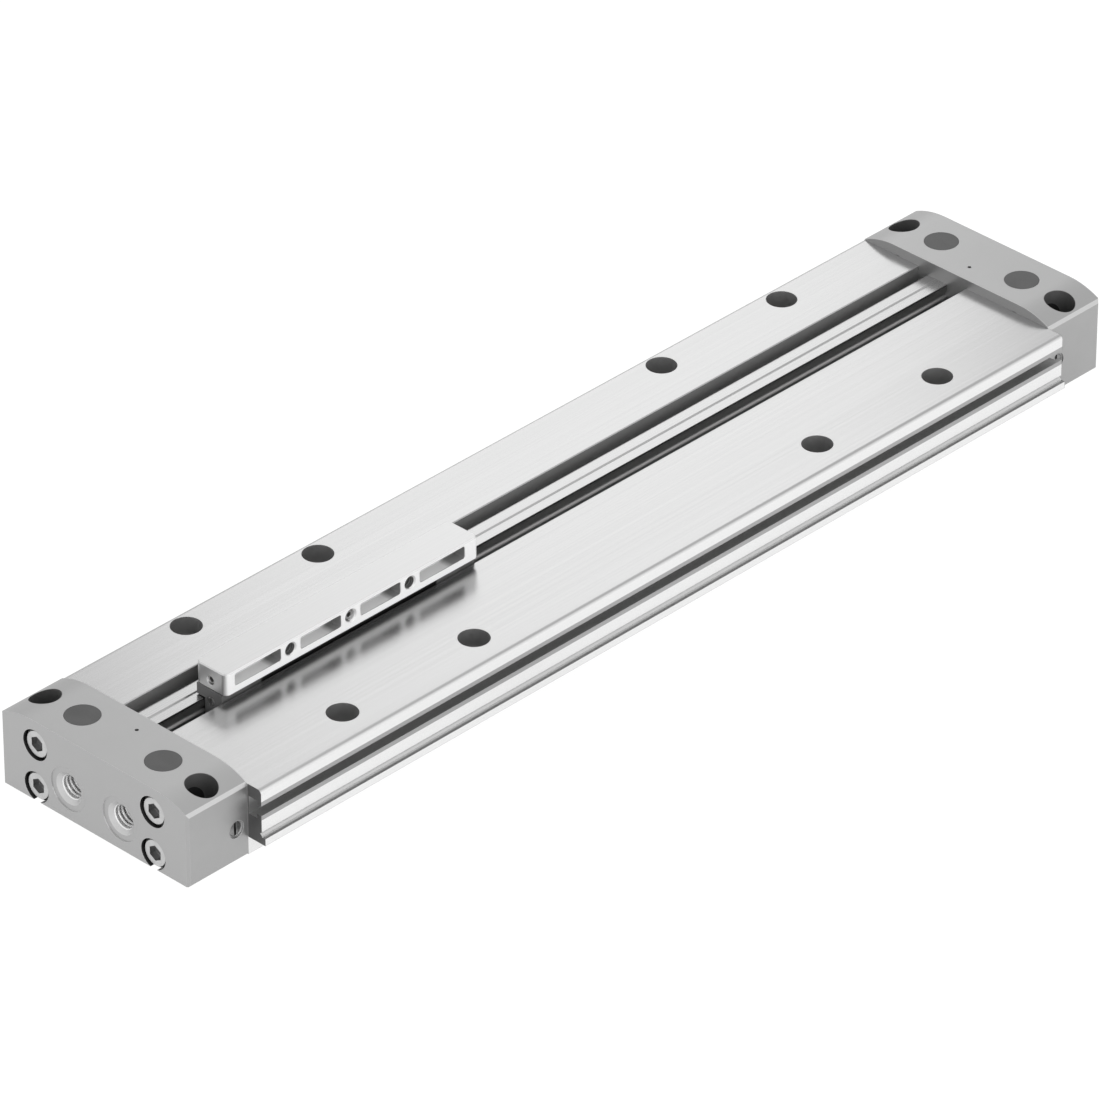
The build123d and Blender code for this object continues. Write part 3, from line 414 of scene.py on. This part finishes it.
def milled_anodised(settings):
    """Slide bar finish: milled lengthwise, then anodised, with faint cutter arcs on the flats.

    The sides are painted pale as if lit and the pockets a little darker as shade; both are not metallic.
    The end faces are painted between them and the darker top as painted light, and the edges carry a
    painted highlight. The far part of each pocket is darker still, a painted shadow of the boss beside it,
    found from the share of the thread pitch that lies between a place and the nearest thread before it.
    The threaded holes are painted dark inside as shade.
    """
    finish = Finish(bpy.data.materials.new("milled anodised bar"))
    x, y, z = finish.axes()
    along, across, _ = finish.facing()
    lines = finish.noise((30, 3800, 3800), detail=3)
    arcs = finish.node("ShaderNodeTexWave", {"wave_type": "BANDS", "bands_direction": "X"},
                       {"Vector": finish.stretched((1800, 60, 60)), "Scale": 1.0,
                        "Distortion": 1.5, "Detail": 1.0})["Fac"]
    tone = settings.bar_tone
    base = finish.blend(lines.ramp(0.3, 0.7), grey(tone * 0.96), grey(tone * 1.03))
    # Painted light: pale sides, lighter end faces and a painted highlight along the edges.
    side = across.distance().ramp(0.5, 0.9)
    base = finish.blend(side, base, grey(settings.lit_bar_side_tone))
    base = finish.blend(along.distance().ramp(0.6, 0.95), base, grey(tone * BAR_END_LIGHT_SHARE))
    base = finish.blend(finish.edges(0.2 * MM) * 0.8, base, grey(BAR_EDGE_HIGHLIGHT))
    threads = MOUNTS["bar_side_threads"]
    pitch = threads["dims"]["spacing_x_mm"] * MM / 2
    middle = threads["pos_m"][0]
    # Painted shade in the pockets, and a painted shadow over the far part of each.
    share = ((x - (middle - 4 * pitch)) / pitch).part()
    inside = y.between(BAR_LOW.y + POCKET_SKIN, BAR_LOW.y + POCKET_DEPTH)
    inside = inside * z.between(BAR_LOW.z + POCKET_RIM_LOW, BAR_HIGH.z - POCKET_RIM_HIGH)
    inside = inside * x.between(BAR_LOW.x + POCKET_END_NEAR, BAR_HIGH.x - POCKET_END_FAR)
    base = finish.blend(inside, base, grey(settings.pocket_shade_tone))
    shaded = grey(settings.pocket_shade_tone * POCKET_SHADOW_SHARE)
    base = finish.blend(inside * share.ramp(0.64, 0.74), base, shaded)
    # Painted shade: the threaded holes are dark inside.
    thread = ((x - middle).distance() - pitch).reach(z - threads["pos_m"][2])
    hole = thread.below(BAR_THREAD_RADIUS) * y.above(BAR_LOW.y + BAR_THREAD_SKIN)
    colour = finish.blend(hole, base, grey(BAR_HOLE_SHADE))
    shine = 0.9 - side.most(inside) * 0.9
    rough = settings.bar_roughness + (lines - 0.5) * 0.12
    normal = finish.bump(lines * 0.8 + arcs * 0.2, 0.10, 0.02 * MM, 0.14 * MM)
    return finish.surface(Base_Color=colour, Metallic=shine, Roughness=rough, Normal=normal)


def strip_steel(settings):
    """Ground guide rail: fine lines along the stroke; the flanks are duller, with painted shade."""
    finish = Finish(bpy.data.materials.new("ground rail"))
    z = finish.axes()[2]
    lines = finish.noise((14, 4200, 4200), detail=4, roughness=0.6)
    tone = settings.rail_tone
    base = finish.blend(lines.ramp(0.3, 0.7), grey(tone * 0.92), grey(tone * 1.05))
    # Painted shade: darker down the flanks, in the channels.
    flank = (RAIL_HIGH.z - z).ramp(*FLANK_SHADE)
    colour = finish.blend(flank, base, grey(settings.recess_shade_tone))
    rough = 0.26 + (lines - 0.5) * 0.16 + flank * 0.2
    normal = finish.bump(lines, 0.10, 0.02 * MM, 0.1 * MM)
    return finish.surface(Base_Color=colour, Metallic=1.0, Roughness=rough, Normal=normal)


def ground_steel(name, tone, roughness, scale):
    """Ground steel: fine grinding lines along the stroke and slow changes of sheen."""
    finish = Finish(bpy.data.materials.new(name))
    lines = finish.noise(scale, detail=4, roughness=0.6)
    stain = finish.noise((60, 200, 200), detail=3)
    base = finish.blend(lines.ramp(0.3, 0.7), grey(tone * 0.88, warmth=0.01), grey(tone * 1.05))
    rough = roughness + (lines - 0.5) * 0.16 + (stain - 0.5) * 0.08
    normal = finish.bump(lines, 0.12, 0.02 * MM, 0.1 * MM)
    return finish.surface(Base_Color=base, Metallic=1.0, Roughness=rough, Normal=normal)


def socket_screw(settings):
    """Bright socket head screws of the caps, with painted shade dark grey down in the hexagon."""
    finish = Finish(bpy.data.materials.new("socket screw"))
    outwards = finish.axes()[0].distance()
    grain = finish.noise((7000, 7000, 7000), detail=2)
    knurl = finish.noise((900, 900, 900), detail=3)
    # Painted shade: dark grey down in the hexagon.
    hexagon = finish.cap_screw_distance().below(HEXAGON_REACH) * outwards.below(HEAD_HIGH.x - SKIN)
    tone = settings.screw_tone
    base = finish.blend(knurl.ramp(0.3, 0.7), grey(tone), grey(tone * 1.15))
    colour = finish.blend(hexagon, base, grey(HEXAGON_SHADE))
    rough = 0.34 + (grain - 0.5) * 0.2
    normal = finish.bump(grain, 0.15, 0.02 * MM, 0.1 * MM)
    return finish.surface(Base_Color=colour, Metallic=0.9, Roughness=rough, Normal=normal)


def plated_screw(settings):
    """Zinc plated screw: uneven bright plating, with a painted highlight along the edges."""
    finish = Finish(bpy.data.materials.new("plated screw"))
    cloud = finish.noise((900, 900, 900), detail=4)
    grain = finish.noise((7000, 7000, 7000), detail=2)
    tone = settings.screw_tone
    base = finish.blend(cloud.ramp(0.35, 0.7), grey(tone * 0.75, warmth=0.01), grey(tone * 1.1))
    # Painted highlight along the edges.
    colour = finish.blend(finish.edges(0.15 * MM) * 0.5, base, grey(min(tone * 1.5, 0.9)))
    rough = 0.34 + (grain - 0.5) * 0.2
    normal = finish.bump(grain, 0.15, 0.02 * MM, 0.1 * MM)
    return finish.surface(Base_Color=colour, Metallic=1.0, Roughness=rough, Normal=normal)


def moulded_plastic(name, tone, roughness, warmth=0.0):
    """Moulded or smooth plastic: a spark-eroded grain and a faint flow pattern."""
    finish = Finish(bpy.data.materials.new(name))
    grain = finish.noise((5000, 5000, 5000), detail=3)
    flow = finish.noise((180, 90, 180), detail=2, distortion=0.6)
    base = finish.blend(flow.ramp(0.35, 0.65), grey(tone * 0.85, warmth), grey(tone * 1.15, warmth))
    rough = roughness + (grain - 0.5) * 0.2 + (flow - 0.5) * 0.08
    normal = finish.bump(grain, 0.2, 0.03 * MM, 0.1 * MM)
    return finish.surface(Base_Color=base, Metallic=0.0, Roughness=rough, Normal=normal)


def seal_rubber():
    """Moulded seal rubber: matt black with a fine pebble."""
    finish = Finish(bpy.data.materials.new("seal rubber"))
    grain = finish.noise((4200, 4200, 4200), detail=3)
    bloom = finish.noise((300, 300, 300), detail=2)
    base = finish.blend(bloom.ramp(0.35, 0.7), grey(0.012), grey(0.024))
    rough = 0.62 + (grain - 0.5) * 0.2
    normal = finish.bump(grain, 0.25, 0.03 * MM)
    return finish.surface(Base_Color=base, Metallic=0.0, Roughness=rough, Normal=normal)


def turned_metal(name, low, high, roughness):
    """Turned metal: a fine even grain, and slow changes between a low and a high tone."""
    finish = Finish(bpy.data.materials.new(name))
    grain = finish.noise((5200, 5200, 5200), detail=2)
    cloud = finish.noise((500, 500, 500), detail=2)
    base = finish.blend(cloud.ramp(0.35, 0.65), grey(low), grey(high))
    rough = roughness + (grain - 0.5) * 0.2
    normal = finish.bump(grain, 0.12, 0.02 * MM, 0.1 * MM)
    return finish.surface(Base_Color=base, Metallic=1.0, Roughness=rough, Normal=normal)


# Screw threads


def thread_surface(name, centre, axis, wall_radius, crest, pitch, length):
    """A thread ridge inside a hole.

    The ridge is a closed four-sided profile carried along a helix. With t from 0 to 1 along the helix,
    the profile's middle lies at the angle 2 pi turns t and at the depth pitch (turns t + 1/2). Each
    profile point lies at the radius wall_radius minus its share of the crest height, and at that depth
    plus its share of the pitch. Both shares grow from almost nothing over the first half turn and
    shrink again over the last.
    """
    turns = length / pitch - 1.0
    steps = int(turns * STEPS_A_TURN)
    t = np.linspace(0.0, 1.0, steps + 1)
    run_in = np.clip(np.minimum(t, 1.0 - t) * turns * 2.0, 0.02, 1.0)
    angle = 2.0 * math.pi * turns * t
    depth = pitch * (turns * t + 0.5)
    share_in = np.array([-0.15, 1.0, 1.0, -0.15])
    share_along = np.array([-0.44, -0.07, 0.07, 0.44])
    radius = wall_radius - crest * share_in[None, :] * run_in[:, None]
    along = -(depth[:, None] + pitch * share_along[None, :] * run_in[:, None])
    w = Vector(axis).normalized()
    u = w.orthogonal().normalized()
    v = w.cross(u)
    u, v, w = np.array(u), np.array(v), np.array(w)
    outwards = np.cos(angle)[:, None, None] * u + np.sin(angle)[:, None, None] * v
    points = np.array(centre)[None, None, :] + radius[..., None] * outwards + along[..., None] * w
    rows, columns = points.shape[:2]
    index = np.arange(rows * columns).reshape(rows, columns)
    following = np.roll(index, -1, axis=1)
    quads = np.stack([index[:-1], following[:-1], following[1:], index[1:]], axis=-1).reshape(-1, 4)
    faces = quads.tolist() + [index[0, ::-1].tolist(), index[-1].tolist()]
    mesh = bpy.data.meshes.new(name)
    mesh.from_pydata(points.reshape(-1, 3).tolist(), [], faces)
    mesh.update()
    piece = bpy.data.objects.new(name, mesh)
    bpy.context.scene.collection.objects.link(piece)
    recalculate(mesh)
    return piece


def recalculate(mesh):
    """Turns the faces of a closed mesh outwards."""
    shape = bmesh.new()
    shape.from_mesh(mesh)
    bmesh.ops.recalc_face_normals(shape, faces=shape.faces)
    shape.to_mesh(mesh)
    shape.free()


def link(piece, material, body):
    """Gives a new piece its material and its body."""
    piece.data.materials.append(material)
    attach(piece, body)


# Settings


class DriveFinishSettings(PropertyGroup):
    profile_tone: FloatProperty(name="Profile tone", description="Grey of the anodised extrusion",
                                default=0.41, min=0.0, max=1.0, subtype="FACTOR")
    # Painted light: the brighter grey of the extrusion's right side.
    painted_light_side_tone: FloatProperty(name="Side tone", description="Grey of the extrusion's right side",
                             default=0.83, min=0.0, max=1.0, subtype="FACTOR")
    # Painted shade inside holes, channels, slots and down the rail's flanks.
    recess_shade_tone: FloatProperty(name="Recess tone", description="Grey inside holes, channels and slots",
                               default=0.42, min=0.0, max=1.0, subtype="FACTOR")
    # Painted shade inside the bar's pockets.
    pocket_shade_tone: FloatProperty(name="Pocket tone", description="Grey inside the bar's pockets",
                               default=0.72, min=0.0, max=1.0, subtype="FACTOR")
    profile_roughness: FloatProperty(name="Profile roughness", description="Sheen of the extrusion",
                                     default=0.24, min=0.0, max=1.0, subtype="FACTOR")
    die_lines: FloatProperty(name="Die lines", description="Strength of the lines along the extrusion",
                             default=0.08, min=0.0, max=1.0, subtype="FACTOR")
    cap_tone: FloatProperty(name="Cap tone", description="Grey of the end caps", default=0.40, min=0.0,
                            max=1.0, subtype="FACTOR")
    cap_roughness: FloatProperty(name="Cap roughness", description="Sheen of the end caps", default=0.42,
                                 min=0.0, max=1.0, subtype="FACTOR")
    bar_tone: FloatProperty(name="Bar tone", description="Grey of the slide bar's top", default=0.50,
                            min=0.0, max=1.0, subtype="FACTOR")
    # Painted light: the pale grey of the bar's sides.
    lit_bar_side_tone: FloatProperty(name="Bar side tone", description="Grey of the slide bar's sides",
                                 default=0.95, min=0.0, max=1.0, subtype="FACTOR")
    # Painted highlight on the caps' chamfers, and the grey of the bright port mouths.
    highlight_and_cut_tone: FloatProperty(name="Cut tone", description="Grey of the caps' cut chamfers and port mouths",
                            default=0.58, min=0.0, max=1.0, subtype="FACTOR")
    bar_roughness: FloatProperty(name="Bar roughness", description="Sheen of the slide bar", default=0.34,
                                 min=0.0, max=1.0, subtype="FACTOR")
    rail_tone: FloatProperty(name="Rail tone", description="Grey of the guide rail", default=0.41, min=0.0,
                             max=1.0, subtype="FACTOR")
    screw_tone: FloatProperty(name="Screw tone", description="Grey of the screws", default=0.51,
                              min=0.0, max=1.0, subtype="FACTOR")
    plastic_tone: FloatProperty(name="Plastic tone", description="Grey of the carriage ends", default=0.11,
                                min=0.0, max=1.0, subtype="FACTOR")


class DriveThreadSettings(PropertyGroup):
    port_pitch: FloatProperty(name="Port thread pitch", description="Pitch of the port threads",
                              default=0.8 * MM, unit="LENGTH")
    port_crest: FloatProperty(name="Port thread height", description="Height of the port threads",
                              default=0.12 * MM, unit="LENGTH")
    bar_pitch: FloatProperty(name="Bar thread pitch", description="Pitch of the bar's threads",
                             default=0.45 * MM, unit="LENGTH")
    bar_crest: FloatProperty(name="Bar thread height", description="Height of the bar's threads",
                             default=0.15 * MM, unit="LENGTH")


class DriveStageSettings(PropertyGroup):
    camera_place: FloatVectorProperty(name="Camera place", description="Where the camera stands",
                                      default=(-0.8937, -0.8621, 0.8077), subtype="TRANSLATION")
    camera_yaw: FloatProperty(name="Camera yaw", description="Turn of the view from +X towards +Y",
                              default=math.radians(44.122), subtype="ANGLE")
    camera_drop: FloatProperty(name="Camera drop", description="How far the view looks down",
                               default=math.radians(32.933), subtype="ANGLE")
    lens: FloatProperty(name="Lens", description="Focal length in millimetres", default=290.7)
    floor_size: FloatProperty(name="Floor size", description="Side of the floor", default=8.0,
                              unit="LENGTH")
    key_power: FloatProperty(name="Key power", description="Power of the overhead lamp in watts",
                             default=1.0)
    fill_power: FloatProperty(name="Fill power", description="Power of the side lamp in watts",
                              default=6.5)
    far_power: FloatProperty(name="Far power", description="Power of the lamp past the far end in watts",
                             default=0.14)
    sky_strength: FloatProperty(name="Sky strength", description="Even light from all round", default=1.0)


# Operators


class DRIVE_OT_profile(Operator):
    """Anodised extrusion finish on the barrel."""
    bl_idname = "drive.profile"
    bl_label = "Barrel"

    def execute(self, context):
        wear(["profile_barrel"], extruded_anodised(context.scene.drive_finish))
        return {"FINISHED"}


class DRIVE_OT_caps(Operator):
    """Blasted anodised finish on both end caps, and dark plastic on their plugs."""
    bl_idname = "drive.caps"
    bl_label = "End caps"

    def execute(self, context):
        wear(["near_end_cap", "far_end_cap"], blasted_anodised(context.scene.drive_finish))
        wear(["cap_plugs"], moulded_plastic("cap plug", tone=0.048, roughness=0.50))
        return {"FINISHED"}


class DRIVE_OT_bar(Operator):
    """Milled and anodised finish on the slide bar."""
    bl_idname = "drive.bar"
    bl_label = "Slide bar"

    def execute(self, context):
        wear(["slide_bar"], milled_anodised(context.scene.drive_finish))
        return {"FINISHED"}


class DRIVE_OT_guide(Operator):
    """Ground rail, rolled band, polished balls and pins; carriage and driver painted near black as shade.
    """
    bl_idname = "drive.guide"
    bl_label = "Guide"

    def execute(self, context):
        settings = context.scene.drive_finish
        wear(["guide_rail"], strip_steel(settings))
        # The carriage and driver are painted near black to stand in for the shade under the bar.
        wear(["guide_carriage", "driver"],
             ground_steel("carriage dark as shade", tone=0.06, roughness=0.38, scale=(40, 3600, 3600)))
        wear(["sealing_band"],
             ground_steel("rolled band", tone=0.62, roughness=0.26, scale=(20, 5200, 5200)))
        polished = turned_metal("polished ball", low=0.72, high=0.80, roughness=0.10)
        wear(["right_ball_row", "left_ball_row", "duct_ball", "driver_pins", "piston_pins"], polished)
        wear(["near_carriage_end", "far_carriage_end"],
             moulded_plastic("black carriage end", settings.plastic_tone, roughness=0.42))
        return {"FINISHED"}


class DRIVE_OT_pistons(Operator):
    """Finishes of the pistons, their yoke and magnets, and all seals."""
    bl_idname = "drive.pistons"
    bl_label = "Pistons and seals"

    def execute(self, context):
        wear(["piston_yoke"], turned_metal("turned yoke", low=0.62, high=0.72, roughness=0.30))
        wear(["near_piston", "far_piston"],
             moulded_plastic("natural piston", tone=0.78, roughness=0.38, warmth=0.02))
        wear(["piston_magnets"], turned_metal("plated magnet", low=0.22, high=0.30, roughness=0.28))
        wear(["piston_seals", "piston_bumpers", "cushion_seals", "spigot_rings", "duct_rings",
              "near_cushion_screw_ring", "far_cushion_screw_ring"], seal_rubber())
        return {"FINISHED"}


class DRIVE_OT_screws(Operator):
    """Bright socket screws in the caps, plated screws and turned steel cushion screws."""
    bl_idname = "drive.screws"
    bl_label = "Screws"

    def execute(self, context):
        wear(["cap_screws"], socket_screw(context.scene.drive_finish))
        wear(["rail_screws", "lube_plug", "bar_end_screws", "bar_screws",
              "carriage_end_screws", "driver_screws"], plated_screw(context.scene.drive_finish))
        wear(["near_cushion_screw", "far_cushion_screw"],
             turned_metal("turned steel", low=0.22, high=0.30, roughness=0.30))
        return {"FINISHED"}


class DRIVE_OT_port_threads(Operator):
    """Thread ridges in the four ports of the end caps."""
    bl_idname = "drive.port_threads"
    bl_label = "Port threads"

    def execute(self, context):
        settings = context.scene.drive_threads
        material = turned_metal("tapped thread", low=0.78, high=0.88, roughness=0.4)
        for end in ("near", "far"):
            mount = MOUNTS[f"{end}_ports"]
            for side, sign in (("right", -1), ("left", 1)):
                mouth = Vector(mount["pos_m"]) + Vector(mount["axis"]) * PORT_THREAD_START
                mouth.y += sign * mount["dims"]["spacing_x_mm"] * MM / 2
                piece = thread_surface(f"{end}_port_{side}_thread", mouth, mount["axis"],
                                       mount["dims"]["hole_r_mm"] * MM, settings.port_crest,
                                       settings.port_pitch, PORT_THREAD_LENGTH)
                link(piece, material, "housing")
        return {"FINISHED"}


class DRIVE_OT_bar_threads(Operator):
    """Thread ridges in the two open side holes of the slide bar."""
    bl_idname = "drive.bar_threads"
    bl_label = "Bar threads"

    def execute(self, context):
        settings = context.scene.drive_threads
        material = NODES["slide_bar"].data.materials[0]
        mount = MOUNTS["bar_side_threads"]
        for end, sign in (("near", -1), ("far", 1)):
            mouth = Vector(mount["pos_m"]) + Vector(mount["axis"]) * BAR_THREAD_START
            mouth.x += sign * mount["dims"]["spacing_x_mm"] * MM / 2
            piece = thread_surface(f"bar_{end}_thread", mouth, mount["axis"],
                                   mount["dims"]["hole_r_mm"] * MM, settings.bar_crest,
                                   settings.bar_pitch, BAR_THREAD_LENGTH)
            link(piece, material, "slide")
        return {"FINISHED"}


class DRIVE_OT_stage(Operator):
    """Pale floor, soft lamps, even sky and the camera."""
    bl_idname = "drive.stage"
    bl_label = "Stage"

    def execute(self, context):
        scene = context.scene
        settings = scene.drive_stage
        self.floor(scene, settings.floor_size / 2)
        self.lamp(scene, "overhead lamp", place=(0.15, 0.35, 1.3), size=1.5, power=settings.key_power)
        self.lamp(scene, "side lamp", place=(-0.25, -1.25, 0.4), size=1.6, power=settings.fill_power)
        self.lamp(scene, "far lamp", place=(0.313, 0.304, 0.283), size=0.2, power=settings.far_power)
        self.sky(scene, settings.sky_strength)
        self.camera(scene, settings)
        scene.view_settings.view_transform = "Standard"
        return {"FINISHED"}

    @staticmethod
    def floor(scene, half):
        """A square floor: pale paper for the light, near white for the camera and in reflections."""
        mesh = bpy.data.meshes.new("floor")
        mesh.from_pydata([(-half, -half, 0), (half, -half, 0), (half, half, 0), (-half, half, 0)], [],
                         [(0, 1, 2, 3)])
        floor = bpy.data.objects.new("floor", mesh)
        scene.collection.objects.link(floor)
        finish = Finish(bpy.data.materials.new("pale floor"))
        paper = finish.node("ShaderNodeBsdfDiffuse", {}, {"Color": grey(0.82), "Roughness": 0.5})
        white = finish.node("ShaderNodeEmission", {}, {"Color": grey(1.0), "Strength": 1.1})
        mixed = finish.node("ShaderNodeMixShader", {}, {0: finish.seen() * 0.85, 1: paper["BSDF"],
                                                        2: white["Emission"]})
        finish.node("ShaderNodeOutputMaterial", {}, {"Surface": mixed["Shader"]})
        mesh.materials.append(finish.owner)

    @staticmethod
    def camera(scene, settings):
        """A camera turned from +X towards +Y by the yaw, looking down by the drop, and not tilted."""
        eye = bpy.data.cameras.new("camera")
        eye.sensor_width = 36.0
        eye.lens = settings.lens
        eye.clip_end = 50.0
        camera = bpy.data.objects.new("camera", eye)
        yaw, drop = settings.camera_yaw, settings.camera_drop
        ahead = Vector((math.cos(yaw) * math.cos(drop), math.sin(yaw) * math.cos(drop),
                        -math.sin(drop)))
        right = Vector((math.sin(yaw), -math.cos(yaw), 0.0))
        up = right.cross(ahead)
        turn = Matrix((right, up, -ahead)).transposed().to_4x4()
        camera.matrix_world = Matrix.Translation(settings.camera_place) @ turn
        scene.collection.objects.link(camera)
        scene.camera = camera

    @staticmethod
    def lamp(scene, name, place, size, power):
        """A square area lamp that faces the origin and is hidden from the camera itself."""
        data = bpy.data.lights.new(name, "AREA")
        data.size = size
        data.energy = power
        lamp = bpy.data.objects.new(name, data)
        turn = (-Vector(place)).to_track_quat("-Z", "Y")
        lamp.matrix_world = Matrix.Translation(place) @ turn.to_matrix().to_4x4()
        lamp.visible_camera = False
        scene.collection.objects.link(lamp)

    @staticmethod
    def sky(scene, strength):
        """White for the camera and in reflections; the light it gives has its own strength."""
        scene.world = bpy.data.worlds.new("even sky")
        finish = Finish(scene.world)
        level = finish.seen() * (1.0 - strength) + strength
        light = finish.node("ShaderNodeBackground", {}, {"Color": grey(1.0), "Strength": level})
        finish.node("ShaderNodeOutputWorld", {}, {"Surface": light["Background"]})


STEPS = (DRIVE_OT_profile, DRIVE_OT_caps, DRIVE_OT_bar, DRIVE_OT_guide, DRIVE_OT_pistons, DRIVE_OT_screws,
         DRIVE_OT_port_threads, DRIVE_OT_bar_threads, DRIVE_OT_stage)


class DRIVE_PT_panel(Panel):
    """Lists the steps that dress the drive."""
    bl_idname = "DRIVE_PT_panel"
    bl_label = "Drive"
    bl_space_type = "VIEW_3D"
    bl_region_type = "UI"
    bl_category = "Drive"

    def draw(self, context):
        for step in STEPS:
            self.layout.operator(step.bl_idname)
        scene = context.scene
        for group in (scene.drive_finish, scene.drive_threads, scene.drive_stage):
            box = self.layout.box()
            for key in group.__annotations__:
                box.prop(group, key)


CLASSES = (DriveFinishSettings, DriveThreadSettings, DriveStageSettings, *STEPS, DRIVE_PT_panel)


def register():
    for cls in CLASSES:
        bpy.utils.register_class(cls)
    bpy.types.Scene.drive_finish = PointerProperty(type=DriveFinishSettings)
    bpy.types.Scene.drive_threads = PointerProperty(type=DriveThreadSettings)
    bpy.types.Scene.drive_stage = PointerProperty(type=DriveStageSettings)


def unregister():
    del bpy.types.Scene.drive_stage
    del bpy.types.Scene.drive_threads
    del bpy.types.Scene.drive_finish
    for cls in reversed(CLASSES):
        bpy.utils.unregister_class(cls)


def main():
    """Registers the add-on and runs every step."""
    register()
    for step in STEPS:
        group, name = step.bl_idname.split(".")
        getattr(getattr(bpy.ops, group), name)()


if __name__ == "__main__":
    main()
